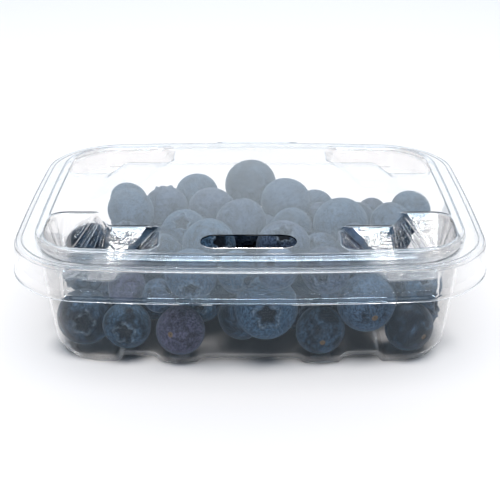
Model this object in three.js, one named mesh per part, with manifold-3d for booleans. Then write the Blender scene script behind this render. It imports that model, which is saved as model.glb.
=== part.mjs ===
// A shut clear punnet of blueberries: a thin tray on ribbed feet, the heap of berries in it, and a press-on
// lid with a skirt, a raised top, four deep corner pockets for stacking, an air slot and an opening tab.
// Millimetres, +Z up, the long side along X, the front at -Y. The origin is on the floor under the middle.
import * as THREE from 'three';
import { mergeVertices } from 'three/addons/utils/BufferGeometryUtils.js';
import Module from 'manifold-3d';

const wasm = await Module();
wasm.setup();

// Overall size, taken over the lid's lip, and the film that both pack pieces are formed from.
const LENGTH = 145;
const DEPTH = 103;
const HEIGHT = 38.6;
const FILM = 0.5;
const GAP = 0.35;

// Plan outlines are rounded rectangles whose sides bow outwards.
const LIP_CORNER = 22;
const CORNER_SHRINK = 0.7;
const BOW_LONG = 4;
const BOW_SHORT = 1.4;
const CORNER_STEPS = 8;

// Lid.
const LIP_Z = 26.2;
const LIP_FLARE = 0.9;
const LEDGE_Z = 36.4;
const LEDGE_INSET = 1.2;
const TOP_INSET = 7.7;
const PANEL_RECESS = 0.6;
const PANEL_HALF = 49.2;
const POCKET_DEPTH = 12;
const SLOT = { left: -14.6, right: 13.8, front: -39.9, back: -31.2 };
const TAB = { x: 2.5, width: 29, reach: 1.1, overlap: 0.6, thickness: 0.8 };

// Tray.
const FLANGE_Z = LEDGE_Z - FILM - GAP;
const FLANGE_INSET = 2.7;
const TRAY_LIP_Z = 28.4;
const CHANNEL_HEIGHT = 2;
const CHANNEL_FADE_Z = 12;
const FLUTE_DEPTH = 0.9;
const FLUTE_TOP_Z = 32;

// Channels under the tray's floor, as [top edge, foot edge] on both sides of X = 0.
const MIDDLE_CHANNEL = [14.7, 17.2];
const SIDE_CHANNEL = { top: [29.7, 38.9], foot: [26.9, 41.2] };

// Heap.
const BERRY = { smallest: 5.4, largest: 8 };
const HEAP_TOP = HEIGHT - FILM - GAP;
const HEAP_FALL = 0.42;

const mirrored = (stops) => [...stops.map((x) => -x).reverse(), ...stops];

// The bow is one warp of the plan, so that nested outlines stay parallel.
function bow([x, y]) {
  const along = x / (LENGTH / 2);
  const across = y / (DEPTH / 2);
  return [x * (1 - (BOW_SHORT / (LENGTH / 2)) * across ** 2), y * (1 - (BOW_LONG / (DEPTH / 2)) * along ** 2)];
}

// A rounded rectangle before the bow, counterclockwise, with points at the given stops along its straight
// sides. recess(x) moves the long sides inwards.
function outline(halfX, halfY, stopsX, stopsY, recess = () => 0) {
  const radius = LIP_CORNER - CORNER_SHRINK * (LENGTH / 2 - halfX);
  const corner = (signX, signY, quarter) =>
    Array.from({ length: CORNER_STEPS + 1 }, (_, step) => {
      const angle = (quarter + step / CORNER_STEPS) * (Math.PI / 2);
      return [
        signX * (halfX - radius) + radius * Math.cos(angle),
        signY * (halfY - radius) + radius * Math.sin(angle),
      ];
    });
  return [
    ...stopsX.map((x) => [x, -halfY + recess(x)]),
    ...corner(1, -1, -1),
    ...stopsY.map((y) => [halfX, y]),
    ...corner(1, 1, 0),
    ...stopsX.map((x) => [-x, halfY - recess(x)]),
    ...corner(-1, 1, 1),
    ...stopsY.map((y) => [-halfX, -y]),
    ...corner(-1, -1, 2),
  ];
}

const lift = (points, z) => points.map(([x, y]) => [x, y, z]);

// Indices that triangulate an outline symmetric about the X axis, as strips across it. The first point of a
// strip is the middle of the left side, half a corner and half a side before the first stop.
function stripCap(count, firstIndex) {
  const triangles = [];
  for (let i = 0; i < count / 2; i += 1) {
    const [a, b] = [(firstIndex + i) % count, (firstIndex + i + 1) % count];
    const [c, d] = [(firstIndex - i - 1 + count) % count, (firstIndex - i + count) % count];
    if (b !== c) triangles.push([a, b, c]);
    if (a !== d) triangles.push([a, c, d]);
  }
  return triangles;
}

function polygonCap(ring) {
  const contour = ring.map(([x, y]) => new THREE.Vector2(x, y));
  return THREE.ShapeUtils.triangulateShape(contour, []);
}

// Joins rings of [x, y, z] into a closed body. The first ring is capped facing down, the last facing up.
function loft(rings, cap) {
  const count = rings[0].length;
  const index = [];
  for (const [a, b, c] of cap) index.push(a, c, b);
  for (let r = 0; r + 1 < rings.length; r += 1) {
    for (let i = 0; i < count; i += 1) {
      const next = (i + 1) % count;
      const [a, b] = [r * count + i, r * count + next];
      index.push(a, b, b + count, a, b + count, a + count);
    }
  }
  const last = (rings.length - 1) * count;
  for (const [a, b, c] of cap) index.push(last + a, last + b, last + c);
  const geometry = new THREE.BufferGeometry();
  geometry.setAttribute('position', new THREE.Float32BufferAttribute(rings.flat(2), 3));
  geometry.setIndex(index);
  return geometry;
}

// A loft of outlines that all have the same stops.
function loftOutlines(rings, stopsY) {
  const left = rings[0].length - (CORNER_STEPS + 1) - (stopsY.length + 1) / 2;
  return loft(rings, stripCap(rings[0].length, left));
}

function toSolid(geometry) {
  return new wasm.Manifold(
    new wasm.Mesh({
      numProp: 3,
      vertProperties: new Float32Array(geometry.attributes.position.array),
      triVerts: new Uint32Array(geometry.index.array),
    }),
  );
}

function toGeometry(solid) {
  const mesh = solid.getMesh();
  const geometry = new THREE.BufferGeometry();
  geometry.setAttribute('position', new THREE.BufferAttribute(new Float32Array(mesh.vertProperties), 3));
  geometry.setIndex(new THREE.BufferAttribute(new Uint32Array(mesh.triVerts), 1));
  return geometry;
}

// ---- Tray: flat feet between raised channels, fluted walls, and a rim that turns down inside the lid.

const TRAY_STOPS_X = mirrored([7, ...MIDDLE_CHANNEL, SIDE_CHANNEL.foot[0], SIDE_CHANNEL.top[0],
  SIDE_CHANNEL.top[1], SIDE_CHANNEL.foot[1]]);
const TRAY_STOPS_Y = [-12, 0, 12];

const ramp = (value, from, to) => THREE.MathUtils.clamp((value - from) / (to - from), 0, 1);

function inSideChannel(x) {
  const { top, foot } = SIDE_CHANNEL;
  return Math.min(ramp(Math.abs(x), foot[0], top[0]), ramp(Math.abs(x), foot[1], top[1]));
}

function inChannel(x) {
  return Math.max(inSideChannel(x), ramp(Math.abs(x), MIDDLE_CHANNEL[1], MIDDLE_CHANNEL[0]));
}

function trayRing(halfX, halfY, z) {
  const flute = FLUTE_DEPTH * (1 - ramp(z, 0, FLUTE_TOP_Z));
  const ring = outline(halfX, halfY, TRAY_STOPS_X, TRAY_STOPS_Y, (x) => flute * inSideChannel(x));
  const raise = CHANNEL_HEIGHT * (1 - ramp(z, FILM, CHANNEL_FADE_Z));
  return ring.map((point) => [...bow(point), z + raise * inChannel(point[0])]);
}

// Each ring of the wall is [half length, half depth, outside Z, inside Z].
const TRAY_WALL = [
  [57.2, 42.2, 0, FILM],
  [59.3, 43.7, 1, 1 + FILM / 2],
  [61.1, 45.1, 4, 4],
  [62, 45.6, CHANNEL_FADE_Z, CHANNEL_FADE_Z],
  [63.3, 46, 24, 24],
  [64, 46.2, FLANGE_Z - FILM, FLANGE_Z],
];
const RIM_SPREAD = 0.3;

function makeTray() {
  const rim = (inset, z) => trayRing(LENGTH / 2 - inset, DEPTH / 2 - inset, z);
  const outside = TRAY_WALL.map(([x, y, z]) => trayRing(x, y, z));
  const inside = TRAY_WALL.map(([x, y, , z]) => trayRing(x - FILM, y - FILM, z));
  return loftOutlines(
    [
      ...outside,
      rim(FLANGE_INSET + FILM, FLANGE_Z - FILM),
      rim(FLANGE_INSET + FILM - RIM_SPREAD, TRAY_LIP_Z),
      rim(FLANGE_INSET - RIM_SPREAD, TRAY_LIP_Z),
      rim(FLANGE_INSET, FLANGE_Z),
      ...inside.reverse(),
    ],
    TRAY_STOPS_Y,
  );
}

// ---- Lid: a flared lip, a skirt whose long sides are slightly sunk panels, a ledge and a raised top.

const LID_STOPS_X = mirrored([16, 33, PANEL_HALF]);
const LID_STOPS_Y = [-20, -10, 0, 10, 20];

function lidRing(inset, z, sunk = 0) {
  const recess = (x) => (Math.abs(x) <= PANEL_HALF ? sunk : 0);
  const ring = outline(LENGTH / 2 - inset, DEPTH / 2 - inset, LID_STOPS_X, LID_STOPS_Y, recess);
  return lift(ring.map(bow), z);
}

function lidShell() {
  const outside = [
    [0, LIP_Z, 0],
    [0, LIP_Z + FILM, 0],
    [LIP_FLARE / 2, LIP_Z + 1.2, PANEL_RECESS],
    [LEDGE_INSET - 0.2, LEDGE_Z - 1, PANEL_RECESS],
    [LEDGE_INSET + 0.5, LEDGE_Z, 0],
    [TOP_INSET - 0.6, LEDGE_Z, 0],
    [TOP_INSET - 0.3, HEIGHT - 0.4, 0],
    [TOP_INSET + 0.4, HEIGHT, 0],
  ];
  const inside = [
    [TOP_INSET + 0.4, HEIGHT - FILM, 0],
    [TOP_INSET + 0.1, LEDGE_Z - FILM, 0],
    [LEDGE_INSET + 0.9, LEDGE_Z - FILM, 0],
    [LEDGE_INSET - 0.2 + FILM, LEDGE_Z - 1.2, PANEL_RECESS],
    [LIP_FLARE / 2 + FILM, LIP_Z + 1.2, PANEL_RECESS],
    [FILM, LIP_Z, 0],
  ];
  return loftOutlines([...inside, ...outside].map((ring) => lidRing(...ring)), LID_STOPS_Y);
}

// A closed outline through corner points, each rounded to its radius. Corners are [x, y, radius].
function roundedPolygon(corners, steps) {
  return corners.flatMap(([x, y, radius], i) => {
    const [before, after] = [corners.at(i - 1), corners[(i + 1) % corners.length]];
    const back = new THREE.Vector2(before[0] - x, before[1] - y).normalize();
    const ahead = new THREE.Vector2(after[0] - x, after[1] - y).normalize();
    const reach = radius / Math.tan(Math.acos(back.dot(ahead)) / 2);
    const start = new THREE.Vector2(x, y).addScaledVector(back, reach);
    const end = new THREE.Vector2(x, y).addScaledVector(ahead, reach);
    const curve = new THREE.QuadraticBezierCurve(start, new THREE.Vector2(x, y), end);
    return curve.getPoints(steps).map((point) => [point.x, point.y]);
  });
}

// Moves every point of a closed counterclockwise outline outwards.
function grow(points, amount) {
  return points.map(([x, y], i) => {
    const [before, after] = [points.at(i - 1), points[(i + 1) % points.length]];
    const along = new THREE.Vector2(after[0] - before[0], after[1] - before[1]).normalize();
    return [x + amount * along.y, y - amount * along.x];
  });
}

// A corner pocket hooks round the corner: one arm along the front, one along the side. The outlines are for
// the pocket at +X, -Y. Its walls lean in, most of all at the front arm's end and inside the side arm.
const POCKET_MOUTH = [[62.3, -16.4, 6], [47.3, -16.2, 2], [43.6, -26.1, 2], [27, -25.5, 4], [27, -41, 5],
  [62.3, -41, 13]];
const POCKET_FLOOR = [[59.8, -19, 1.5], [56.6, -19, 1.2], [45.4, -29.2, 2], [40, -29.2, 2.5], [40, -38.6, 3],
  [59.8, -38.6, 9]];
const POCKET_CORNER_STEPS = 3;

function pocketSolid(thicker, topZ) {
  const ring = (corners, z) => lift(grow(roundedPolygon(corners, POCKET_CORNER_STEPS), thicker).map(bow), z);
  const mouth = ring(POCKET_MOUTH, topZ);
  const floor = ring(POCKET_FLOOR, HEIGHT - POCKET_DEPTH - thicker);
  return toSolid(loft([floor, mouth], polygonCap(floor)));
}

function inEachCorner(solid) {
  const sideways = solid.mirror([1, 0, 0]);
  return [solid, sideways, solid.mirror([0, 1, 0]), sideways.mirror([0, 1, 0])];
}

function slotSolid() {
  const [middle, half] = [(SLOT.front + SLOT.back) / 2, (SLOT.back - SLOT.front) / 2];
  const end = (x, sign) =>
    Array.from({ length: 7 }, (_, i) => {
      const angle = (i / 6 - 0.5) * Math.PI;
      return [x + sign * (half * Math.cos(angle) - half), middle + sign * half * Math.sin(angle)];
    });
  const ring = [...end(SLOT.right, 1), ...end(SLOT.left, -1)];
  return toSolid(loft([lift(ring, HEIGHT - 2), lift(ring, HEIGHT + 1)], polygonCap(ring)));
}

// The opening tab stands a little out of the back rim.
function tabSolid() {
  const back = DEPTH / 2 - LEDGE_INSET;
  const corners = [[-TAB.width / 2, back - TAB.overlap, 0.2], [TAB.width / 2, back - TAB.overlap, 0.2],
    [TAB.width / 2, back + TAB.reach, 1.4], [-TAB.width / 2, back + TAB.reach, 1.4]];
  const ring = roundedPolygon(corners, 3).map(([x, y]) => [x + TAB.x, y]);
  const top = LEDGE_Z - 0.1;
  return toSolid(loft([lift(ring, top - TAB.thickness), lift(ring, top)], polygonCap(ring)));
}

function makeLid() {
  let lid = toSolid(lidShell()).add(tabSolid());
  for (const wall of inEachCorner(pocketSolid(FILM, HEIGHT - FILM / 2))) lid = lid.add(wall);
  for (const hollow of inEachCorner(pocketSolid(0, HEIGHT + 0.01))) lid = lid.subtract(hollow);
  return toGeometry(lid.subtract(slotSolid()));
}

// ---- Berries: the ones that show are placed by hand, and a loose grid fills the rest.

// [x, y, z, radius] of each berry against the front wall, of those above them and of those at the top.
const SHOWN_BERRIES = [
  [-51.2, -30.4, 9.9, 8.8], [-37.7, -35.3, 9.8, 7.4], [-21.3, -36.5, 8.7, 7.7], [-2.8, -31.3, 10.4, 7.3],
  [21.5, -36.2, 8.6, 7.6], [49, -34.3, 8.7, 7.7], [53.4, -22.9, 8.2, 7.2], [4.9, -34.6, 15.6, 9.8],
  [35.4, -33.3, 16.5, 9.1], [-37.9, -28.7, 19.5, 6.1], [-17.6, -35.3, 27.4, 7.9], [22.6, -34, 28, 7.2],
  [-12.8, -19.2, 28.2, 8.8], [10.3, -19.5, 28.4, 8.4], [-21.4, -4.6, 25.4, 8], [-3.1, -2.8, 28.8, 8.4],
  [13.4, -1.4, 25.4, 7.4], [-12.8, 10.5, 27, 8.2], [12.3, 14, 28.4, 8.7], [0.2, 29.6, 28, 9.2],
  [-18.9, 25.4, 26.2, 7.5], [-29, 15.2, 26.4, 7.4], [-41.6, 15, 28.6, 6.5], [-40, 6.4, 28.6, 7.9],
  [22.6, 26.5, 19.9, 7.3], [29.6, -2.4, 28, 9.1], [35.8, 12.2, 22, 7.3], [46.2, -2.4, 28.4, 6.9],
  [54.4, 8.6, 28.2, 6.7], [-53.2, -2.6, 20.4, 8],
];

// A repeatable number from 0 to 1 for each grid place.
function spread(seed) {
  const value = Math.sin(seed * 12.9898) * 43758.5453;
  return value - Math.floor(value);
}

// The room inside the tray, by its half sizes and corner radius, where the pockets reach down into it, and
// the back left corner, where the heap is low.
const ROOM = { x: 59.6, y: 43, corner: 13 };
const UNDER_POCKETS = [
  [38, 11],
  [24, 20],
];
const LOW_CORNER = { x: -42, y: 8, top: 14 };
const POCKET_UNDERSIDE = HEIGHT - POCKET_DEPTH - FILM - GAP;

function fitsInCorner(x, y, radius) {
  const [outX, outY] = [Math.abs(x) - ROOM.x + ROOM.corner, Math.abs(y) - ROOM.y + ROOM.corner];
  return outX < 0 || outY < 0 || Math.hypot(outX, outY) + radius < ROOM.corner;
}

// The highest that a berry may reach: under the top, a pocket or the low corner, and lower towards the back.
function ceiling(x, y) {
  const underPocket = UNDER_POCKETS.some(([reachX, reachY]) => Math.abs(x) > reachX && Math.abs(y) > reachY);
  const fallen = HEAP_TOP - HEAP_FALL * Math.max(0, y + 4);
  if (x < LOW_CORNER.x && y > LOW_CORNER.y) return Math.min(LOW_CORNER.top, fallen);
  return underPocket ? Math.min(POCKET_UNDERSIDE, fallen) : fallen;
}

// The hidden ones fill the room on a fine grid of places, wherever the fruit already there leaves enough.
const GRID = { step: 4, columns: 30, rows: 22, layers: 6, jitter: 0.6, packing: 0.88 };
const FLOOR_CLEARANCE = CHANNEL_HEIGHT + FILM + 0.8;

function gridPlaces() {
  const places = [];
  for (let layer = 0; layer < GRID.layers; layer += 1) {
    for (let row = 0; row < GRID.rows; row += 1) {
      for (let column = 0; column < GRID.columns; column += 1) places.push([column, row, layer]);
    }
  }
  return places;
}

function berryAt([column, row, layer], place) {
  const radius = BERRY.smallest + (BERRY.largest - BERRY.smallest) * spread(place + 1);
  const shift = (row + layer) % 2 ? 0.5 : 0;
  const jitter = (offset) => GRID.jitter * (2 * spread(place + offset) - 1);
  const wideX = (column - (GRID.columns - 1) / 2 + shift) * GRID.step + jitter(501);
  const wideY = (row - (GRID.rows - 1) / 2) * GRID.step + jitter(901);
  const insideX = THREE.MathUtils.clamp(wideX, radius - ROOM.x, ROOM.x - radius);
  const insideY = THREE.MathUtils.clamp(wideY, radius - ROOM.y, ROOM.y - radius);
  const [x, y] = bow([insideX, insideY]);
  const z = Math.min(radius + FLOOR_CLEARANCE + GRID.step * layer, ceiling(x, y) - radius);
  const roomy = fitsInCorner(insideX, insideY, radius) && z > radius + FLOOR_CLEARANCE - 1;
  return { berry: [x, y, z, radius], roomy };
}

function allBerries() {
  const berries = SHOWN_BERRIES.map((berry) => [...berry]);
  gridPlaces().map(berryAt).forEach(({ berry, roomy }) => {
    const [x, y, z, radius] = berry;
    const clear = berries.every(
      ([bx, by, bz, br]) => Math.hypot(x - bx, y - by, z - bz) > GRID.packing * (radius + br),
    );
    if (clear && roomy) berries.push(berry);
  });
  return berries;
}

const CORE = { bottom: 5, top: 23, low: [50, 33], high: [53.5, 36.5], stopsX: mirrored([15]), stopsY: [0] };

function makeBerries() {
  const ring = ([halfX, halfY], z) => lift(outline(halfX, halfY, CORE.stopsX, CORE.stopsY).map(bow), z);
  const core = loftOutlines([ring(CORE.low, CORE.bottom), ring(CORE.high, CORE.top)], CORE.stopsY);
  const balls = allBerries().map(([x, y, z, radius], i) => {
    const ball = new THREE.IcosahedronGeometry(radius, 1);
    ball.deleteAttribute('normal').deleteAttribute('uv');
    return toSolid(mergeVertices(ball.rotateX(i).rotateZ(2 * i).translate(x, y, z)));
  });
  const heap = wasm.Manifold.union([toSolid(core), ...balls]);
  const bodies = heap.decompose().sort((a, b) => b.volume() - a.volume());
  return toGeometry(bodies[0]);
}

function part(name, geometry, look) {
  geometry.computeVertexNormals();
  const mesh = new THREE.Mesh(geometry, new THREE.MeshStandardMaterial(look));
  mesh.name = name;
  return mesh;
}

const clearFilm = { color: 0xe4edf1, roughness: 0.08, metalness: 0, transparent: true, opacity: 0.3 };
const bloomedSkin = { color: 0x34465a, roughness: 0.6, metalness: 0 };

const group = new THREE.Group();
group.add(part('tray', makeTray(), clearFilm));
group.add(part('berries', makeBerries(), bloomedSkin));
group.add(part('lid', makeLid(), { ...clearFilm }));

export default group;
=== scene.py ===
"""A shut clear punnet of blueberries: a formed tray, the loose fruit in it and a press-on lid.

Sizes are in millimetres until a mesh is written. +Z is up and the front is at -Y.
"""

import math

import bmesh
import bpy
import numpy as np
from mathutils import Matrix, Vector, geometry


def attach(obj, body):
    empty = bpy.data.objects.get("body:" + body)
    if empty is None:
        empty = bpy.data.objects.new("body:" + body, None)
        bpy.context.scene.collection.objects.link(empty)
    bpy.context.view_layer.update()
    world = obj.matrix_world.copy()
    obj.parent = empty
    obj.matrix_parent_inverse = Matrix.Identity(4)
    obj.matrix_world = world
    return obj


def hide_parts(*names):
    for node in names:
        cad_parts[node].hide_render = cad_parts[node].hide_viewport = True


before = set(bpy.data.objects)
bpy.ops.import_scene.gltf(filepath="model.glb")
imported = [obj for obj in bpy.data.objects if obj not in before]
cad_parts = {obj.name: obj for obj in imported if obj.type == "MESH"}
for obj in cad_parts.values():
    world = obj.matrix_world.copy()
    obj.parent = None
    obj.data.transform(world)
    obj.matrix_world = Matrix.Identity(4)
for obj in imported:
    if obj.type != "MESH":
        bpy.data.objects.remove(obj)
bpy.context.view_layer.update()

# ---------------------------------------------------------------------------------------------------
# Tray. A shallow box drawn from one sheet of clear film over a mould: flat feet with channels between
# them for air, fluted walls, and a flange whose rim turns down inside the lid.
# ---------------------------------------------------------------------------------------------------

LENGTH, DEPTH, FILM = 145.0, 103.0, 0.5
# How far the middle of a long side and of a short side stands out past its ends, the radius of the lip's
# corners, and what each millimetre further in takes off it.
BOW_LONG, BOW_SHORT = 4.0, 1.4
LIP_CORNER, CORNER_SHRINK = 22.0, 0.7

FLANGE_Z, FLANGE_INSET, TRAY_LIP_Z, RIM_SPREAD = 35.55, 2.7, 28.4, 0.3
CHANNEL_HEIGHT, CHANNEL_FADE_Z = 2.0, 12.0
# Distances from the middle between which the slopes of the channels run.
MIDDLE_CHANNEL = (14.7, 17.2)
SIDE_CHANNEL_INNER, SIDE_CHANNEL_OUTER = (26.9, 29.7), (41.2, 38.9)
FLUTE_DEPTH, FLUTE_TOP_Z = 0.9, 32.0

# Half length, half depth and height along the inside of the wall, from the floor up.
TRAY_WALL = [(53.9, 38.9, FILM), (56.7, 41.7, FILM), (58.8, 43.2, 1.35), (60.6, 44.6, 4), (61.5, 45.1, 12),
             (62.8, 45.5, 24), (63.5, 45.7, FLANGE_Z)]
# How far each corner of the wall and the rim is cut back to round it, and the steps of the mesh.
TRAY_CUTS = [0.8, 0.9, 0.8, 1.5, 2, 0.6, 0.6]
WALL_STEP, FLOOR_ROWS = 1.6, 15

# The flange and the rim hardly show inside the lid's skirt: half lengths and heights between which the film
# grows faint. The foot and the floor do so by half.
RIM_FADE, FOOT_FADE, FOOT_FAINT = (63.8, 64.6), (5, 2), 0.5


def bow(x, y):
    """The plan bows outwards: x shrinks with the square of y, and y with the square of x."""
    along, across = x / (LENGTH / 2), y / (DEPTH / 2)
    return x * (1 - BOW_SHORT / (LENGTH / 2) * across**2), y * (1 - BOW_LONG / (DEPTH / 2) * along**2)


def half_loop(long_stops, corner_steps, short_steps):
    """The front half of a rounded rectangle from the middle of its left side to that of its right side.

    Each point is (share of the straight length, share of the straight depth, direction of the normal).
    """
    side = np.linspace(0, 1, short_steps + 1)
    turn = np.linspace(0, math.pi / 2, corner_steps + 1)
    left = np.stack([-np.ones_like(side), -side, np.full_like(side, math.pi)], 1)
    first = np.stack([-np.ones_like(turn), -np.ones_like(turn), math.pi + turn], 1)
    front = np.stack([long_stops, -np.ones_like(long_stops), np.full_like(long_stops, 1.5 * math.pi)], 1)
    second = np.stack([np.ones_like(turn), -np.ones_like(turn), 1.5 * math.pi + turn], 1)
    right = np.stack([np.ones_like(side), side - 1, np.full_like(side, 2 * math.pi)], 1)
    return np.vstack([left, first[1:], front[1:-1], second, right[1:]])


def whole_loop(half):
    """The front half, then its mirror image back to the start."""
    back = half[::-1][1:-1] * (1, -1, -1)
    return np.vstack([half, back])


def outline(loop, half_x, half_y):
    """Rounded rectangles: corner centre plus radius times normal, one row for each pair of half sizes."""
    half_x, half_y = np.asarray(half_x, float)[:, None], np.asarray(half_y, float)[:, None]
    radius = LIP_CORNER - CORNER_SHRINK * (LENGTH / 2 - half_x)
    x = loop[:, 0] * (half_x - radius) + radius * np.cos(loop[:, 2])
    y = loop[:, 1] * (half_y - radius) + radius * np.sin(loop[:, 2])
    return x, y


def soft_path(points, cut, steps=6):
    """Rounds the corners of a path: each becomes a quadratic Bezier curve that starts and ends `cut` off."""
    points = np.asarray(points, float)
    before, at, after = points[:-2], points[1:-1], points[2:]
    cut = np.broadcast_to(np.asarray(cut, float), len(at))[:, None]
    start = at + cut * (before - at) / np.linalg.norm(before - at, axis=1, keepdims=True)
    end = at + cut * (after - at) / np.linalg.norm(after - at, axis=1, keepdims=True)
    t = np.linspace(0, 1, steps + 1)[None, :, None]
    curves = (1 - t) ** 2 * start[:, None] + 2 * t * (1 - t) * at[:, None] + t**2 * end[:, None]
    return np.vstack([points[:1], curves.reshape(-1, points.shape[1]), points[-1:]])


def fill(path, spacing, least=0.03):
    """Adds points to a path by linear interpolation, so that none is further than spacing from the next.

    Where two would lie less than least apart, one is dropped.
    """
    run = np.concatenate([[0], np.cumsum(np.linalg.norm(np.diff(path, axis=0), axis=1))])
    stops = np.unique(np.concatenate([run, np.arange(0, run[-1], spacing)]))
    stops = stops[np.append(np.diff(stops) > least, True)]
    return np.stack([np.interp(stops, run, path[:, k]) for k in range(path.shape[1])], 1)


def smooth(value, low, high):
    """Smoothstep: 0 at low, 1 at high, 3t^2 - 2t^3 between; low may be the larger."""
    t = np.clip((value - low) / (high - low), 0, 1)
    return t * t * (3 - 2 * t)


def peak(value, at, width):
    """A bell curve, 1 where value is at: exp(-((value - at) / width)^2)."""
    return np.exp(-(((value - at) / width) ** 2))


def grid_faces(rows, columns, closed):
    """Quads of a grid whose points run along each row; if closed, the last column joins the first."""
    row, column = np.meshgrid(np.arange(rows - 1), np.arange(columns - (not closed)), indexing="ij")
    after = (column + 1) % columns
    corners = [row * columns + column, row * columns + after, (row + 1) * columns + after]
    return np.stack([*corners, (row + 1) * columns + column], -1).reshape(-1, 4)


def make_piece(name, patches, values, material, up_at, body="root"):
    """One mesh object from patches of (points, faces), in millimetres, with a float attribute for each value.

    Doubled points are merged and the faces turned one way, so that the highest face, or with up_at=-1 the
    lowest, points up. Smooth shading stops at open borders.
    """
    points = np.vstack([p.reshape(-1, 3) for p, _ in patches]) / 1000
    starts = np.cumsum([0] + [p.reshape(-1, 3).shape[0] for p, _ in patches])
    faces = [corners for (_, group), start in zip(patches, starts)
             for corners in (np.asarray(group) + start).tolist()]
    mesh = bpy.data.meshes.new(name)
    mesh.from_pydata(points, [], faces)
    for key, array in values.items():
        attribute = mesh.attributes.new(key, "FLOAT", "POINT")
        attribute.data.foreach_set("value", np.asarray(array, np.float32).ravel())
    shape = bmesh.new()
    shape.from_mesh(mesh)
    bmesh.ops.remove_doubles(shape, verts=shape.verts, dist=1e-5)
    bmesh.ops.dissolve_degenerate(shape, edges=shape.edges, dist=1e-6)
    bmesh.ops.recalc_face_normals(shape, faces=shape.faces)
    top = max(shape.faces, key=lambda face: up_at * face.calc_center_median().z)
    if top.normal.z < 0:
        bmesh.ops.reverse_faces(shape, faces=shape.faces)
    for face in shape.faces:
        face.smooth = True
    for border in (edge for edge in shape.edges if edge.is_boundary):
        border.smooth = False
    shape.to_mesh(mesh)
    shape.free()
    mesh.materials.append(material)
    piece = bpy.data.objects.new(name, mesh)
    bpy.context.scene.collection.objects.link(piece)
    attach(piece, body)
    return piece


def wall_thickness(piece, thickness):
    """Gives an open surface its film thickness, away from its normals."""
    solid = piece.modifiers.new("film", "SOLIDIFY")
    solid.thickness = thickness / 1000
    solid.offset = -1
    solid.use_even_offset = False


class Value:
    """A socket that takes part in arithmetic: each operator adds its Math node to the same nodes."""

    def __init__(self, nodes, socket):
        self.nodes, self.socket = nodes, socket

    def math(self, operation, first, second):
        return self.nodes.math(operation, first, second)

    def __add__(self, other):
        return self.math("ADD", self, other)

    def __sub__(self, other):
        return self.math("SUBTRACT", self, other)

    def __rsub__(self, other):
        return self.math("SUBTRACT", other, self)

    def __mul__(self, other):
        return self.math("MULTIPLY", self, other)

    __radd__ = __add__

    def smooth(self, low, high):
        """Smoothstep from 0 at low to 1 at high."""
        span = {"Value": self, "From Min": low, "From Max": high}
        return self.nodes.add("ShaderNodeMapRange", {"interpolation_type": "SMOOTHSTEP"}, span)


class Nodes:
    """The nodes of a material or a world. add() makes a node, sets its settings and then its sockets."""

    def __init__(self, owner):
        owner.use_nodes = True
        self.owner, self.tree = owner, owner.node_tree
        self.tree.nodes.clear()

    def add(self, kind, settings=None, sockets=None, out=0):
        node = self.tree.nodes.new(kind)
        for key, setting in (settings or {}).items():
            setattr(node, key, setting)
        for key, given in (sockets or {}).items():
            if isinstance(given, Value):
                self.tree.links.new(given.socket, node.inputs[key])
            else:
                node.inputs[key].default_value = given
        return Value(self, node.outputs[out])

    def math(self, operation, first, second):
        return self.add("ShaderNodeMath", {"operation": operation}, {0: first, 1: second})

    def mix(self, share, first, second):
        """A colour between two: Mix node's colour sockets are numbers 6 and 7, its result is number 2."""
        return self.add("ShaderNodeMix", {"data_type": "RGBA"}, {0: share, 6: first, 7: second}, out=2)

    def reading(self, key):
        """The value that the mesh carries under this name."""
        return self.add("ShaderNodeAttribute", {"attribute_name": key}, out="Fac")

    def noise(self, place, scale, detail):
        return self.add("ShaderNodeTexNoise", sockets={"Vector": place, "Scale": scale, "Detail": detail})

    def bump(self, height, distance, strength):
        """A normal tilted by the slope of height times distance, which is in metres."""
        sockets = {"Height": height, "Distance": distance, "Strength": strength}
        return self.add("ShaderNodeBump", sockets=sockets)

    def finish(self, shader, kind="ShaderNodeOutputMaterial"):
        node = self.tree.nodes.new(kind)
        self.tree.links.new(shader.socket, node.inputs["Surface"])
        return self.owner


# Film: heights in units of the bump's distance, shares of full cover, and roughness.
RIPPLE_HEIGHT, STREAK_HEIGHT = 9.5, 4.0
MOST_FAINT, STREAK_SHOWS, MILKY_ROUGHNESS = 0.94, 0.7, 0.15


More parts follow.
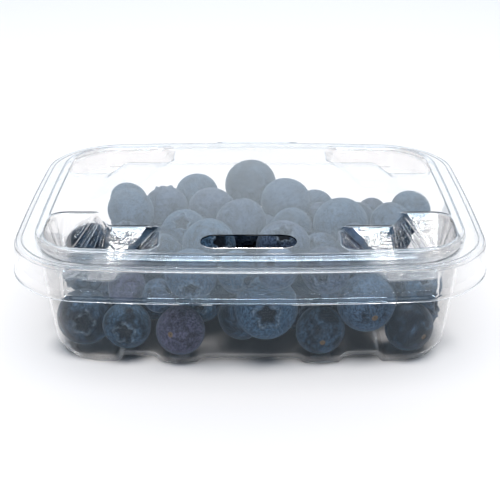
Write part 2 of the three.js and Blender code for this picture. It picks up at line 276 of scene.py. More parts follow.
def clear_film(name, index):
    """Clear formed plastic that bends and mirrors light by its index; light for shadows passes straight.

    Where a mould has drawn it deep the film is rippled, finest across the draw, and streaked down it. Values
    on the mesh say where it is drawn, how far along its side walls a place is, where the film hardly shows
    and where its border is milky.
    """
    nodes = Nodes(bpy.data.materials.new(name))
    place = nodes.add("ShaderNodeTexCoord", out="Object")
    drawn, around = nodes.reading("drawn"), nodes.reading("around")
    faint, milky = nodes.reading("faint"), nodes.reading("milky")
    streaks = nodes.add("ShaderNodeTexNoise", {"noise_dimensions": "1D"},
                        {"W": around, "Scale": 0.8, "Detail": 3.0})
    squeezed = nodes.add("ShaderNodeMapping", sockets={"Vector": place, "Scale": (0.25, 0.25, 1.9)})
    ripple, uneven = nodes.noise(squeezed, 800.0, 2.0), nodes.noise(place, 130.0, 2.0).smooth(0.34, 0.52)
    height = ripple * uneven * drawn * RIPPLE_HEIGHT + (streaks - 0.5) * faint * STREAK_HEIGHT
    bump = nodes.bump(height, 0.00006, 0.5)
    alpha = 1.0 - faint * (MOST_FAINT - streaks.smooth(0.5, 0.62) * STREAK_SHOWS)
    solid = nodes.add("ShaderNodeBsdfPrincipled", sockets={
        "Base Color": (0.988, 0.982, 0.976, 1), "Roughness": milky * MILKY_ROUGHNESS, "IOR": index,
        "Transmission Weight": 1.0, "Alpha": alpha, "Specular Tint": (0.7, 0.86, 1, 1), "Coat Weight": drawn,
        "Coat Roughness": 0.0, "Coat IOR": 2.0, "Normal": bump, "Coat Normal": bump})
    through = nodes.add("ShaderNodeBsdfTransparent", sockets={"Color": (0.97, 0.975, 0.98, 1)})
    shadow = nodes.add("ShaderNodeLightPath", out="Is Shadow Ray")
    return nodes.finish(nodes.add("ShaderNodeMixShader", sockets={0: shadow, 1: solid, 2: through}))


def channel(x):
    """1 on top of a channel under the floor, 0 on a foot."""
    side = smooth(abs(x), *SIDE_CHANNEL_INNER) * smooth(abs(x), *SIDE_CHANNEL_OUTER)
    return np.maximum(side, smooth(abs(x), MIDDLE_CHANNEL[1], MIDDLE_CHANNEL[0])), side


def tray_points(loop, half_x, half_y, z):
    """Outlines raised by the channels, which fade up the wall, and pushed in at the flutes."""
    x, y = outline(loop, half_x, half_y)
    z = np.asarray(z, float)[:, None]
    raised, side = channel(x)
    y = y - np.sign(y) * FLUTE_DEPTH * (1 - np.clip(z / FLUTE_TOP_Z, 0, 1)) * side
    fade = 1 - np.clip((z - FILM) / (CHANNEL_FADE_Z - FILM), 0, 1)
    return np.stack([*bow(x, y), z + CHANNEL_HEIGHT * fade * raised], -1)


# Mesh steps: 96 along a long side, 14 round a corner and 18 along half a short side.
tray_half = half_loop(np.linspace(-1, 1, 97), 14, 18)
tray_loop = whole_loop(tray_half)
rim_inset = np.array([FLANGE_INSET, FLANGE_INSET - RIM_SPREAD])
tray_profile = [*TRAY_WALL, (LENGTH / 2 - rim_inset[0], DEPTH / 2 - rim_inset[0], FLANGE_Z),
                (LENGTH / 2 - rim_inset[1], DEPTH / 2 - rim_inset[1], TRAY_LIP_Z)]
tray_section = fill(soft_path(tray_profile, TRAY_CUTS), WALL_STEP)
tray_side = tray_points(tray_loop, *tray_section.T)

# The floor is strips from each point of the front half to the point opposite it.
floor_edge = tray_points(tray_half, *np.array(tray_profile[:1]).T)[0]
across = np.linspace(1, -1, FLOOR_ROWS)[:, None, None]
tray_floor = floor_edge[None] * np.concatenate([np.ones_like(across), across, np.ones_like(across)], 2)

tray_patches = [(tray_side, grid_faces(*tray_side.shape[:2], True)),
                (tray_floor, grid_faces(*tray_floor.shape[:2], False))]
tray_faint = smooth(tray_section[:, :1], *RIM_FADE) + FOOT_FAINT * smooth(tray_section[:, 2:], *FOOT_FADE)
tray_faint = tray_faint + 0 * tray_side[..., 0]
tray_values = {"faint": np.append(tray_faint, np.full(tray_floor[..., 0].size, FOOT_FAINT))}
tray = make_piece("clear_tray", tray_patches, tray_values, clear_film("tray_film", 1.33), up_at=-1)
wall_thickness(tray, FILM)
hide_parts("tray")

# ---------------------------------------------------------------------------------------------------
# Fruit. Fresh cultivated blueberries, tipped in loose: round and a little flattened from crown to stem,
# no two of a size, with a five-lobed crown round a pit at one end and a stem scar at the other. The skin
# is blue-black under a pale waxy bloom that handling has rubbed off in places.
# ---------------------------------------------------------------------------------------------------

# x, y, z, radius, end that faces the front (1 crown, -1 scar), and where that end lies on the fruit as seen
# from the front (right, up, as shares of the radius), purple tint, bloom.
SHOWN = np.array([
    [-51.2, -30.4, 9.9, 8.8, 1, 0.07, -0.23, 0.1, 0.18],
    [-37.7, -35.3, 9.8, 7.4, 1, -0.01, -0.38, 0.05, 0.45],
    [-21.3, -36.5, 8.7, 7.7, -1, -0.4, -0.15, 1, 0.6], [-2.8, -31.3, 10.4, 7.3, 1, 0.8, 0.4, 0.1, 0.2],
    [21.5, -36.2, 8.6, 7.6, -1, 0.05, -0.53, 0.1, 0.35], [49, -34.3, 8.7, 7.7, -1, 0.55, -0.44, 0.15, 0.15],
    [53.4, -22.9, 8.2, 7.2, 1, 0.9, 0.1, 0.1, 0.4], [4.9, -34.6, 15.6, 9.8, 1, 0.03, -0.24, 0.05, 1.05],
    [35.4, -33.3, 16.5, 9.1, -1, 0.25, -0.55, 0.15, 0.7], [-37.9, -28.7, 19.5, 6.1, -1, -0.7, 0.5, 0.9, 0.5],
    [-17.6, -35.3, 27.4, 7.9, 1, 0.04, -0.67, 0.1, 0.95], [22.6, -34, 28, 7.2, 1, -0.27, -0.28, 0.4, 0.6],
    [-12.8, -19.2, 28.2, 8.8, 1, 0.55, 0.25, 0, 0.7], [10.3, -19.5, 28.4, 8.4, 1, 0, 0.55, 0.35, 0.6],
    [-21.4, -4.6, 25.4, 8, 1, -0.08, 0.5, 0.1, 0.95], [-3.1, -2.8, 28.8, 8.4, 1, 0.3, -0.93, 0.3, 0.6],
    [13.4, -1.4, 25.4, 7.4, 1, 0.8, -0.5, 0.1, 0.6], [-12.8, 10.5, 27, 8.2, 1, -0.3, -0.92, 0.4, 0.7],
    [12.3, 14, 28.4, 8.7, 1, -0.2, -0.95, 0.2, 0.8], [0.2, 29.6, 28, 9.2, 1, 0.2, -0.95, 0.1, 0.25],
    [-18.9, 25.4, 26.2, 7.5, 1, 0.2, -0.95, 0.1, 0.7], [-29, 15.2, 26.4, 7.4, 1, -0.06, 0.99, 0.35, 0.6],
    [-41.6, 15, 28.6, 6.5, 1, -0.4, -0.9, 0.05, 0.7], [-40, 6.4, 28.6, 7.9, 1, -0.5, -0.84, 0.1, 0.7],
    [22.6, 26.5, 19.9, 7.3, 1, 0.3, -0.92, 0.2, 0.6], [29.6, -2.4, 28, 9.1, 1, 0.2, -0.93, 0.1, 0.8],
    [35.8, 12.2, 22, 7.3, 1, 0.3, -0.93, 0.1, 0.6], [46.2, -2.4, 28.4, 6.9, 1, -0.5, -0.8, 0.1, 0.5],
    [54.4, 8.6, 28.2, 6.7, 1, -0.4, -0.9, 0.05, 0.7], [-53.2, -2.6, 20.4, 8, 1, 0.3, -0.9, 0.1, 0.3],
])


def spread(seed):
    """A repeatable number from 0 to 1: the fraction of a sine stretched far out."""
    stretched = np.sin(seed * 12.9898) * 43758.5453
    return stretched - np.floor(stretched)


# The rest fill the tray from the floor up: each place of a fine, jittered grid takes one if it has room.
ROOM_X, ROOM_Y, ROOM_CORNER, CLEAR_OF_FLOOR = 59.6, 43.0, 13.0, 3.7
GRID_STEP, LAYERS, ROWS, COLUMNS, JITTER = 4.0, 6, 22, 30, 0.6
SMALLEST, SIZE_RANGE, CLOSEST, MAY_SINK = 5.4, 2.6, 0.88, 1

# The heap's top falls from its crest towards the back. It is lower under the pockets, whose two arms start
# at these distances from the middle, and lowest in the back left corner.
HEAP_TOP, HEAP_FALL, CREST_Y = 36.75, 0.42, -4
UNDER_POCKET, POCKET_ARMS = 25.75, ((38, 11), (24, 20))
CORNER_TOP, CORNER_X, CORNER_Y = 14, -42, 8

fruit = [row[:4] for row in SHOWN]
for place in range(LAYERS * ROWS * COLUMNS):
    layer, row, column = place // (ROWS * COLUMNS), place // COLUMNS % ROWS, place % COLUMNS
    radius = SMALLEST + SIZE_RANGE * spread(place + 1)
    sideways = 0.5 if (row + layer) % 2 else 0
    wide_x = (column - (COLUMNS - 1) / 2 + sideways) * GRID_STEP + JITTER * (2 * spread(place + 501) - 1)
    wide_y = (row - (ROWS - 1) / 2) * GRID_STEP + JITTER * (2 * spread(place + 901) - 1)
    in_x = np.clip(wide_x, radius - ROOM_X, ROOM_X - radius)
    in_y = np.clip(wide_y, radius - ROOM_Y, ROOM_Y - radius)
    x, y = bow(in_x, in_y)
    top = HEAP_TOP - HEAP_FALL * max(0, y - CREST_Y)
    if any(abs(x) > arm_x and abs(y) > arm_y for arm_x, arm_y in POCKET_ARMS):
        top = min(top, UNDER_POCKET)
    if x < CORNER_X and y > CORNER_Y:
        top = min(top, CORNER_TOP)
    z = min(radius + CLEAR_OF_FLOOR + GRID_STEP * layer, top - radius)
    out_x, out_y = abs(in_x) - ROOM_X + ROOM_CORNER, abs(in_y) - ROOM_Y + ROOM_CORNER
    in_corner = out_x >= 0 and out_y >= 0 and math.hypot(out_x, out_y) + radius >= ROOM_CORNER
    clear = all(math.dist((x, y, z), other[:3]) > CLOSEST * (radius + other[3]) for other in fruit)
    if clear and not in_corner and z > radius + CLEAR_OF_FLOOR - MAY_SINK:
        fruit.append(np.array([x, y, z, radius]))

fruit = np.array(fruit)
count, shown = len(fruit), len(SHOWN)
rng = np.random.default_rng(7)

# Each fruit's axis, from stem to crown. A hidden one lies anyhow, with its scar away from the front. The eye
# that SHOWN is written for looks down on the front by FACING.
FACING = math.radians(27.5)
toward = np.array([0, -math.cos(FACING), math.sin(FACING)])
upward = np.array([0, math.sin(FACING), math.cos(FACING)])
depth = np.sqrt(np.clip(1 - SHOWN[:, 5] ** 2 - SHOWN[:, 6] ** 2, 0, 1))[:, None]
facing = SHOWN[:, 5:6] * (1, 0, 0) + SHOWN[:, 6:7] * upward + depth * toward
anyhow = rng.normal(size=(count - shown, 3))
anyhow *= np.sign(anyhow @ toward)[:, None]
axis = np.vstack([facing * SHOWN[:, 4:5], anyhow])
axis /= np.linalg.norm(axis, axis=1, keepdims=True)
helper = np.cross(axis, rng.normal(size=(count, 3)))
side_a = helper / np.linalg.norm(helper, axis=1, keepdims=True)
side_b = np.cross(axis, side_a)


def pick(low, high):
    """A number between low and high for each fruit."""
    return rng.uniform(low, high, (count, 1, 1))


# What differs from fruit to fruit: flattening, soft swellings and their directions, and the crown.
flat, swell_two, swell_three = pick(0.86, 0.95), pick(0.005, 0.02), pick(0.003, 0.012)
crown_radius = pick(0.33, 0.42)
phase_two, phase_three, phase_crown, phase_lobe = pick(0, 6.3), pick(0, 6.3), pick(0, 6.3), pick(0, 6.3)
purple = np.concatenate([SHOWN[:, 7], rng.uniform(0, 0.4, count - shown)])[:, None, None]
bloom = np.concatenate([SHOWN[:, 8], rng.uniform(0.2, 0.8, count - shown)])[:, None, None]

# Polar angles where the close rings round the crown end and those round the scar start, how oval a crown is,
# and depths and heights as shares of the radius.
CROWN_END, SCAR_START, CROWN_SQUEEZE = 0.62, 2.72, 0.06
RIM_HEIGHT, LOBE_HEIGHT, PIT_DEPTH, CROWN_DIMPLE, STYLE_HEIGHT = 0.03, 0.1, 0.14, 0.035, 0.03
SCAR_DIMPLE, SCAR_DEPTH, RING_HEIGHT = 0.05, 0.03, 0.012


def berries(which, segments, crown_rings, body_rings, scar_rings):
    """Flattened balls with soft swellings, each a grid of polar angle (0 crown, pi scar) by turn.

    Round a pit with the remains of the style in it the crown's rim stands up in five lobes. The scar is sunk
    in a shallow dimple, with a thin raised ring round it. Returns a patch of points and faces, and the values
    at its points.
    """
    crown_part = np.linspace(0, CROWN_END, crown_rings + 1)
    body_part = np.linspace(CROWN_END, SCAR_START, body_rings + 1)[1:]
    scar_part = np.linspace(SCAR_START, math.pi, scar_rings + 1)[1:]
    polar = np.concatenate([crown_part, body_part, scar_part])[None, :, None]
    turn = (np.arange(segments) / segments * 2 * math.pi)[None, None, :]
    swell = 1 + swell_two[which] * np.cos(2 * turn + phase_two[which]) * np.sin(polar) ** 2 \
        + swell_three[which] * np.cos(3 * turn + phase_three[which]) * np.sin(polar) ** 3
    crown_at = crown_radius[which] * (1 + CROWN_SQUEEZE * np.cos(2 * turn + phase_crown[which]))
    lobe = 0.5 + 0.5 * np.cos(5 * turn + phase_lobe[which])
    edge = crown_at * (0.78 + 0.36 * lobe)
    rim = peak(polar - edge, 0.02, 0.05)
    pit = smooth(polar, edge * 0.95, edge * 0.62)
    style = peak(polar, 0, 0.045)
    from_scar = math.pi - polar
    scar = peak(from_scar, 0, 0.09)
    lift = rim * (RIM_HEIGHT + LOBE_HEIGHT * lobe) - PIT_DEPTH * pit \
        - CROWN_DIMPLE * np.exp(-((polar / CROWN_END) ** 4)) + STYLE_HEIGHT * style
    sink = SCAR_DIMPLE * peak(from_scar, 0, 0.3) + SCAR_DEPTH * scar \
        - RING_HEIGHT * peak(from_scar, 0.17, 0.035)
    along = (flat[which] * np.cos(polar) + lift + sink)[..., None] * axis[which][:, None, None]
    out = np.sin(polar) * swell
    ball = along + (out * np.cos(turn))[..., None] * side_a[which][:, None, None] \
        + (out * np.sin(turn))[..., None] * side_b[which][:, None, None]
    ball = ball * fruit[which][:, None, None, 3:] + fruit[which][:, None, None, :3]
    first = np.arange(len(ball)) * ball.shape[1] * segments
    faces = grid_faces(ball.shape[1], segments, True)[None] + first[:, None, None]
    same = 0 * rim
    values = {"purple": purple[which] + same, "bloom": bloom[which] + same, "crown": rim, "pit": pit,
              "scar": scar + same}
    return (ball, faces.reshape(-1, 4)), values


def blueberry_skin():
    """Waxy bloom over a dark skin, speckled and rubbed. The pit is black, its own dark colour with painted
    shade of the sunken pit added; the scar is tan with a dark middle.
    """
    nodes = Nodes(bpy.data.materials.new("blueberry_skin"))
    place = nodes.add("ShaderNodeTexCoord", out="Object")
    patches, smears = nodes.noise(place, 190.0, 3.0), nodes.noise(place, 520.0, 4.0)
    grain = nodes.noise(place, 1700.0, 3.0)
    cover = (patches * 1.2 + smears * 1.0 + nodes.reading("bloom") * 0.7).smooth(1.1, 1.75)
    wax = cover * (0.3 + grain.smooth(0.42, 0.58) * 0.7)
    purple_share = nodes.reading("purple")
    bare = nodes.mix(purple_share, (0.003, 0.006, 0.01, 1), (0.009, 0.005, 0.011, 1))
    dusted = nodes.mix(purple_share, (0.07, 0.128, 0.197, 1), (0.122, 0.113, 0.178, 1))
    skin = nodes.mix(wax, bare, dusted)
    crown = nodes.mix(grain.smooth(0.35, 0.65), (0.06, 0.08, 0.095, 1), (0.27, 0.31, 0.34, 1))
    skin = nodes.mix(nodes.reading("crown") * smears.smooth(0.32, 0.55) * 0.55, skin, crown)
    # The pit's black is partly the crown's own dark colour and partly painted shade of its recess.
    skin = nodes.mix(nodes.reading("pit"), skin, (0.006, 0.008, 0.011, 1))
    scar = nodes.reading("scar")
    skin = nodes.mix(scar.smooth(0.15, 0.45), skin, (0.15, 0.09, 0.045, 1))
    skin = nodes.mix(scar.smooth(0.7, 0.95), skin, (0.03, 0.02, 0.013, 1))
    bump = nodes.bump(grain * 0.5 + smears * 0.5, 0.0002, 0.35)
    return nodes.finish(nodes.add("ShaderNodeBsdfPrincipled", sockets={
        "Base Color": skin, "Roughness": 0.42 + wax * 0.35, "Normal": bump, "Specular IOR Level": 0.08,
        "Sheen Weight": 0.13, "Sheen Roughness": 0.5, "Sheen Tint": (0.7, 0.85, 1, 1)}))


# The fruit that shows has the finer mesh.
near, near_values = berries(slice(0, shown), 44, 15, 13, 6)
far, far_values = berries(slice(shown, count), 26, 10, 9, 4)
fruit_values = {key: np.concatenate([grid.ravel(), far_values[key].ravel()])
                for key, grid in near_values.items()}
blueberries = make_piece("blueberries", [near, far], fruit_values, blueberry_skin(), up_at=1)
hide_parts("berries")

# The dark middle of the heap, where fruit lies behind fruit in shadow: a body coloured near black as painted
# shade. Its rings are half length, half depth and height. outline() needs a half length of at least LEAST_X,
# so the smaller rings are squeezed from that one.
CORE_RINGS = np.array([(0.5, 0.5, 5), (38, 20, 5), (42, 24, 7), (43, 25.5, 11), (44, 26, 16), (43, 25, 19),
                       (38, 20, 20.5), (0.5, 0.5, 21)])
LEAST_X, LEAST_Y, CORE_STEP = 23.5, 0.5, 2.5
LUMP_HEIGHT, LUMP_UP = 0.8, 0.4
core_section = fill(CORE_RINGS, CORE_STEP)
core_x, core_y = outline(tray_loop, core_section[:, 0].clip(LEAST_X), core_section[:, 1].clip(LEAST_Y))
core_x = core_x * (core_section[:, 0] / core_section[:, 0].clip(LEAST_X))[:, None]
lumps = LUMP_HEIGHT * np.sin(core_x * 0.75) * np.sin(core_y * 0.7 + core_section[:, 2:3] * 0.6)
core_x, core_y = bow(core_x * (1 + lumps / 60), core_y * (1 + lumps / 45))
core_points = np.stack([core_x, core_y, core_section[:, 2:3] + 0 * core_x + LUMP_UP * lumps], -1)


def heap_shade():
    """Painted shade: blue-black skins coloured as if in deep shade, mottled by the fruit's own size."""
    nodes = Nodes(bpy.data.materials.new("heap_shade"))
    place = nodes.add("ShaderNodeTexCoord", out="Object")
    mottle = nodes.noise(place, 150.0, 3.0)
    # Near-black colours: painted shade for the fruit hidden deep in the heap.
    shade = nodes.mix(mottle.smooth(0.35, 0.7), (0.003, 0.005, 0.008, 1), (0.012, 0.018, 0.028, 1))
    return nodes.finish(nodes.add("ShaderNodeBsdfPrincipled", sockets={
        "Base Color": shade, "Roughness": 0.85 - mottle * 0.2, "Normal": nodes.bump(mottle, 0.002, 0.6),
        "Specular IOR Level": 0.1}))


core_faces = grid_faces(*core_points.shape[:2], True)
core = make_piece("heap_core", [(core_points, core_faces)], {}, heap_shade(), up_at=1)
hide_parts("berries")

# ---------------------------------------------------------------------------------------------------
# Lid. Drawn from the same film and pressed over the tray's rim: a flared lip, a skirt whose long sides
# are slightly sunk panels with a wavy bead and snap buttons at each end, a ledge, a low raised top with an
# air slot cut in it, four deep corner pockets for the feet of the next punnet, and a tab out of the back rim.
# ---------------------------------------------------------------------------------------------------

HEIGHT, LEDGE_Z, LIP_Z = 38.6, 36.4, 26.2
SKIRT_FOOT, SKIRT_TOP, SKIRT_INSET = (27, 27.7), (36.0, 35.3), 2
PANEL_HALF, PANEL_RECESS = 53.4, 0.45
BEAD_X, BEAD_WAVE, BEAD_TURN, BEAD_WIDTH, BEAD_HEIGHT = 54.4, 0.25, 2.1, 0.5, 0.4
# Each snap button's distance from the middle, half width, height over the table and half height.
BUTTONS, BUTTON_DEPTH = ((57.2, 1.3, 32.6, 0.9), (58.2, 1.6, 30.2, 0.6)), 0.3
TAB_X, TAB_HALF, TAB_REACH, TAB_FOOT = 2.5, 14.5, 1.05, (34.6, 35.6)
SLOT_LEFT, SLOT_RIGHT, SLOT_FRONT, SLOT_BACK = -14.6, 13.8, -39.9, -31.2
POCKET_FLOOR_Z = 26.6
# Inset from the lip over which the film turns milky, which it stays up to the flat top.
MILKY_FROM = (0.6, 1.2)

# Inset from the lip and height, from the lip's edge up to the flat top, and how far each corner is cut back.
LID_SECTION = [(0, LIP_Z), (0, LIP_Z + 0.5), (0.45, LIP_Z + 1.2), (1.0, 35.4), (1.7, LEDGE_Z),
               (3.0, LEDGE_Z), (3.25, LEDGE_Z + 0.16), (3.5, LEDGE_Z), (7.1, LEDGE_Z), (7.4, 38.2),
               (8.1, HEIGHT), (8.8, HEIGHT)]
LID_CUTS = [0.2, 0.3, 0.35, 0.35, 0.1, 0.1, 0.1, 0.3, 0.3, 0.3]

# The long sides have extra points at the ends of the panels.
panel_end = np.linspace(0.955, 0.999, 8)
lid_stops = np.unique(np.concatenate([np.linspace(-1, 1, 61), panel_end, -panel_end]))
lid_loop = whole_loop(half_loop(lid_stops, 64, 22))
inset, lid_z = fill(soft_path(LID_SECTION, LID_CUTS, steps=4), 0.85).T
lid_x, lid_y = outline(lid_loop, LENGTH / 2 - inset, DEPTH / 2 - inset)
lid_z = lid_z[:, None] + 0 * lid_x
outermost = (inset < SKIRT_INSET)[:, None]
in_skirt = smooth(lid_z, *SKIRT_FOOT) * smooth(lid_z, *SKIRT_TOP) * outermost
panel = smooth(abs(lid_x), PANEL_HALF + 1.2, PANEL_HALF - 0.4) * in_skirt
button = sum(np.exp(-(((abs(lid_x) - x) / wide) ** 2) - ((lid_z - z) / high) ** 2)
             for x, wide, z, high in BUTTONS)
under_ledge = smooth(lid_z, *TAB_FOOT) * outermost * (lid_y > 0)
tab = TAB_REACH * smooth(abs(lid_x - TAB_X), TAB_HALF + 0.6, TAB_HALF - 0.6) * under_ledge
bead = peak(abs(lid_x) - BEAD_X, BEAD_WAVE * np.sin(BEAD_TURN * lid_z), BEAD_WIDTH)
inward = PANEL_RECESS * panel + (BUTTON_DEPTH * button - BEAD_HEIGHT * bead) * in_skirt - tab
normal_x, normal_y = np.cos(lid_loop[:, 2]), np.sin(lid_loop[:, 2])
band = np.stack([*bow(lid_x - inward * normal_x, lid_y - inward * normal_y), lid_z], -1)

# Corner pockets hook round the corner. Outlines are [x, y, corner radius] for the one at +X, -Y.
POCKET_MOUTH = [[62.3, -16.4, 6], [47.3, -16.2, 2], [43.6, -26.1, 2], [27, -25.5, 4], [27, -41, 5],
                [62.3, -41, 13]]
POCKET_FLOOR = [[59.8, -19, 1.5], [56.6, -19, 1.2], [45.4, -29.2, 2], [40, -29.2, 2.5], [40, -38.6, 3],
                [59.8, -38.6, 9]]


def closed_outline(corners, steps=8, between=10):
    """A closed path through rounded corners, quadratic Bezier curves joined by evenly filled straights."""
    at, radius = np.array(corners, float)[:, :2], np.array(corners, float)[:, 2:]
    back = np.roll(at, 1, 0) - at
    ahead = np.roll(at, -1, 0) - at
    back /= np.linalg.norm(back, axis=1, keepdims=True)
    ahead /= np.linalg.norm(ahead, axis=1, keepdims=True)
    reach = radius / np.tan(np.arccos((back * ahead).sum(1, keepdims=True)) / 2)
    start, end = at + reach * back, at + reach * ahead
    t = np.linspace(0, 1, steps + 1)[None, :, None]
    curve = (1 - t) ** 2 * start[:, None] + 2 * t * (1 - t) * at[:, None] + t**2 * end[:, None]
    t = np.linspace(0, 1, between + 2)[None, 1:-1, None]
    straight = end[:, None] * (1 - t) + np.roll(start, -1, 0)[:, None] * t
    return np.concatenate([curve, straight], 1).reshape(-1, 2)


def outward(path):
    """Unit normals of a closed clockwise or counterclockwise path, away from its middle."""
    along = np.roll(path, -1, 0) - np.roll(path, 1, 0)
    normal = np.stack([along[:, 1], -along[:, 0]], 1) / np.linalg.norm(along, axis=1, keepdims=True)
    area = (path[:, 0] * np.roll(path[:, 1], -1) - np.roll(path[:, 0], -1) * path[:, 1]).sum()
    return normal * np.sign(area)


mouth, foot = closed_outline(POCKET_MOUTH), closed_outline(POCKET_FLOOR)
# Across the wall: (outwards from the mouth, share of the way in to the foot, outwards from the foot, height).
# It starts OVER outside the mouth and ends OVER inside the foot.
OVER = 0.7
wall_section = soft_path([(OVER, 0, 0, HEIGHT), (0, 0, 0, HEIGHT), (0, 1, 0, POCKET_FLOOR_Z),
                          (0, 1, -OVER, POCKET_FLOOR_Z)], [OVER, OVER], steps=7)
wall_section = fill(wall_section, 0.75)
out_of_mouth, inwards, out_of_foot = (wall_section[:, k, None, None] for k in range(3))
wall_facing = outward(mouth)
pocket_xy = mouth + (foot - mouth) * inwards + wall_facing * out_of_mouth + outward(foot) * out_of_foot

# The film is drawn deep below the mouth. A wall that faces front or back is bright and rippled, and the
# others are faint and streaked downwards. Beyond NO_MIRROR_X the left front pocket has no bright wall, and
# the back pockets have neither bright walls nor streaks.
DRAWN_FROM, DRAWN_LEAST, FACES_FRONT, FACES_SIDE, NO_MIRROR_X = (0.5, 3), 0.15, (0.6, 0.85), 0.5, 45.5
same = 0 * pocket_xy[..., 0]
pocket_deep = smooth(wall_section[:, 3], HEIGHT - DRAWN_FROM[0], HEIGHT - DRAWN_FROM[1])[:, None] + same
pocket_mirror = smooth(abs(wall_facing[:, 1]), *FACES_FRONT)
steps_round = np.linalg.norm(np.diff(mouth, axis=0, prepend=mouth[:1]), axis=1)
pocket_around = np.cumsum(steps_round * (abs(wall_facing[:, 0]) > FACES_SIDE))[None] + same

pocket_patches, pocket_holes, pocket_values = [], [], {"drawn": [], "around": [], "faint": [], "milky": []}
for side_x in (1, -1):
    for side_y in (1, -1):
        x, y = bow(pocket_xy[..., 0] * side_x, pocket_xy[..., 1] * side_y)
        z = wall_section[:, 3][:, None] + 0 * x
        wall = np.stack([x, y, z], -1)
        floor_fill = geometry.tessellate_polygon([[Vector(point) for point in wall[-1]]])
        pocket_patches += [(wall, grid_faces(*wall.shape[:2], True)), (wall[-1], floor_fill)]
        at_front = side_y > 0
        mirror = pocket_mirror * ((side_x > 0) | (mouth[:, 0] < NO_MIRROR_X)) * at_front
        grids = {"drawn": pocket_deep * (DRAWN_LEAST + (1 - DRAWN_LEAST) * mirror), "milky": same,
                 "around": pocket_around * at_front, "faint": pocket_deep * (1 - mirror)}
        for key, grid in grids.items():
            pocket_values[key] += [grid.ravel(), grid[-1]]
        pocket_holes.append(wall[0])

# The air slot, a straight-sided hole with round ends.
half_slot = (SLOT_BACK - SLOT_FRONT) / 2
bend = np.linspace(-math.pi / 2, math.pi / 2, 17)
right_end = np.stack([SLOT_RIGHT - half_slot + half_slot * np.cos(bend), half_slot * np.sin(bend)], 1)
left_end = np.stack([SLOT_LEFT + half_slot - half_slot * np.cos(bend), -half_slot * np.sin(bend)], 1)
slot = np.vstack([right_end, left_end]) + (0, (SLOT_BACK + SLOT_FRONT) / 2)
slot = np.column_stack([slot, np.full(len(slot), HEIGHT)])


def flat_fill(outer, holes, z):
    """A constrained Delaunay triangulation of what lies in the outer ring and in no hole.

    A triangle is in a hole if a line from its middle crosses the hole's edge an odd number of times.
    """
    rings = [outer, *holes]
    starts = np.cumsum([0] + [len(ring) for ring in rings])
    edges = [(start + i, start + (i + 1) % len(ring))
             for ring, start in zip(rings, starts) for i in range(len(ring))]
    corners = [Vector(point) for point in np.vstack(rings)[:, :2]]
    corners, _, faces, *_ = geometry.delaunay_2d_cdt(corners, edges, [], 1, 1e-6)
    corners, faces = np.array(corners), np.array(faces)
    middle = corners[faces].mean(1)
    keep = np.ones(len(faces), bool)
    for hole in holes:
        a, b = hole[:, :2], np.roll(hole[:, :2], -1, 0)
        spans = (a[:, 1] > middle[:, 1:]) != (b[:, 1] > middle[:, 1:])
        rise = np.where(b[:, 1] == a[:, 1], 1, b[:, 1] - a[:, 1])
        crossing = a[:, 0] + (middle[:, 1:] - a[:, 1]) * (b[:, 0] - a[:, 0]) / rise
        keep &= (spans & (crossing > middle[:, :1])).sum(1) % 2 == 0
    return np.column_stack([corners, np.full(len(corners), z)]), faces[keep]


top = flat_fill(band[-1], [slot, *pocket_holes], HEIGHT)
lid_patches = [(band, grid_faces(*band.shape[:2], True)), top, *pocket_patches]
border = {key: 0 * lid_x for key in pocket_values}
border["milky"] = smooth(inset, *MILKY_FROM)[:, None] + 0 * lid_x
lid_values = {key: np.concatenate([border[key].ravel(), np.zeros(len(top[0])), *given])
              for key, given in pocket_values.items()}
lid = make_piece("clear_lid", lid_patches, lid_values, clear_film("lid_film", 1.5), up_at=1)
wall_thickness(lid, FILM)
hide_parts("lid")

# ---------------------------------------------------------------------------------------------------
# Table, daylight and camera.
# ---------------------------------------------------------------------------------------------------


def white_table():
    """Smooth white card."""
    nodes = Nodes(bpy.data.materials.new("white_table"))
    return nodes.finish(nodes.add("ShaderNodeBsdfPrincipled", sockets={
        "Base Color": (0.865, 0.818, 0.788, 1), "Roughness": 0.6, "Specular IOR Level": 0.2}))


HALF_TABLE = 3.0
table_mesh = bpy.data.meshes.new("table")
table_mesh.from_pydata([(x * HALF_TABLE, y * HALF_TABLE, 0) for x, y in ((-1, -1), (1, -1), (1, 1), (-1, 1))],
                       [], [(0, 1, 2, 3)])
table_mesh.materials.append(white_table())
table = bpy.data.objects.new("table", table_mesh)
bpy.context.scene.collection.objects.link(table)

# A pale window above the back, in a dim room.
world = bpy.data.worlds.new("studio")
bpy.context.scene.world = world
sky = Nodes(world)
direction = sky.add("ShaderNodeTexCoord", out="Generated")
up = sky.add("ShaderNodeSeparateXYZ", sockets={0: direction}, out=2)
back = sky.add("ShaderNodeSeparateXYZ", sockets={0: direction}, out=1)
window = back.smooth(-0.1, 0.3) * up.smooth(0.05, 0.25) * up.smooth(0.8, 0.6)
daylight = sky.mix(window, (0.17, 0.265, 0.385, 1), (1.1, 1.22, 1.34, 1))
sky.finish(sky.add("ShaderNodeBackground", sockets={"Color": daylight, "Strength": 1.0}),
           "ShaderNodeOutputWorld")


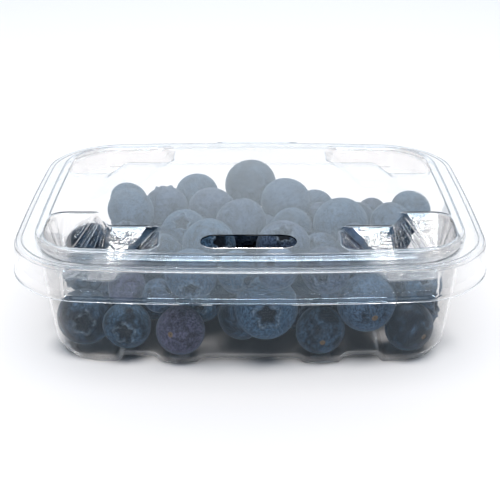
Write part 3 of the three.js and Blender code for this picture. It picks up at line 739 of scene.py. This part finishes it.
def softbox(name, width, height, radiance, place, target, only_on=(), tint=(1, 1, 1)):
    """An area light of a stated radiance: power = radiance * pi * area. It may shine on some pieces only."""
    light = bpy.data.lights.new(name, "AREA")
    light.shape, light.size, light.size_y = "RECTANGLE", width, height
    light.energy = radiance * math.pi * width * height
    light.color = tint
    lamp = bpy.data.objects.new(name, light)
    lamp.location = place
    lamp.rotation_euler = (Vector(target) - Vector(place)).to_track_quat("-Z", "Y").to_euler()
    if only_on:
        lamp.light_linking.receiver_collection = bpy.data.collections.new(name + "_shines_on")
        for piece in only_on:
            lamp.light_linking.receiver_collection.objects.link(piece)
    bpy.context.scene.collection.objects.link(lamp)


heap = (blueberries, core)
softbox("overhead_softbox", 1.0, 1.0, 1.2, (0, -0.2, 1.2), (0, 0, 0))
softbox("heap_softbox", 1.0, 0.8, 8.0, (0, 0.25, 1.2), (0, 0, 0), only_on=heap)
softbox("front_fill", 1.7, 0.7, 7.0, (0, -1.7, 0.42), (0, 0, 0.03), only_on=heap, tint=(0.82, 0.95, 1.1))
softbox("table_fill", 0.9, 0.45, 9.2, (0, 0.0, 1.2), (0, 0, 0), only_on=(table,))
softbox("front_softbox", 0.62, 0.34, 22.0, (0.045, -1.25, 0.19), (0.045, 0, 0.03), only_on=(lid,))

# The camera stands CAMERA_AWAY metres from a point AIM_Z over the table, CAMERA_PITCH degrees above it, and
# looks AIM_TURN degrees lower than that point.
CAMERA_PITCH, CAMERA_AWAY, AIM_Z, AIM_TURN = 25.9, 0.318, 0.0273, 1.62
camera_data = bpy.data.cameras.new("camera")
camera_data.lens, camera_data.sensor_width = 69.12, 36.0
camera_data.clip_start = 0.01
camera = bpy.data.objects.new("camera", camera_data)
pitch = math.radians(CAMERA_PITCH)
camera.location = (0, -CAMERA_AWAY * math.cos(pitch), AIM_Z + CAMERA_AWAY * math.sin(pitch))
camera.rotation_euler = (math.radians(90 - CAMERA_PITCH - AIM_TURN), 0, 0)
bpy.context.scene.collection.objects.link(camera)
bpy.context.scene.camera = camera

# Light passes through many layers of film, so paths are let run long.
bpy.context.scene.view_settings.view_transform = "Standard"
cycles = bpy.context.scene.cycles
cycles.caustics_refractive = cycles.caustics_reflective = False
cycles.sample_clamp_indirect = 0.0
cycles.transparent_max_bounces = 48
cycles.max_bounces = cycles.transmission_bounces = 32
cycles.glossy_bounces = 12
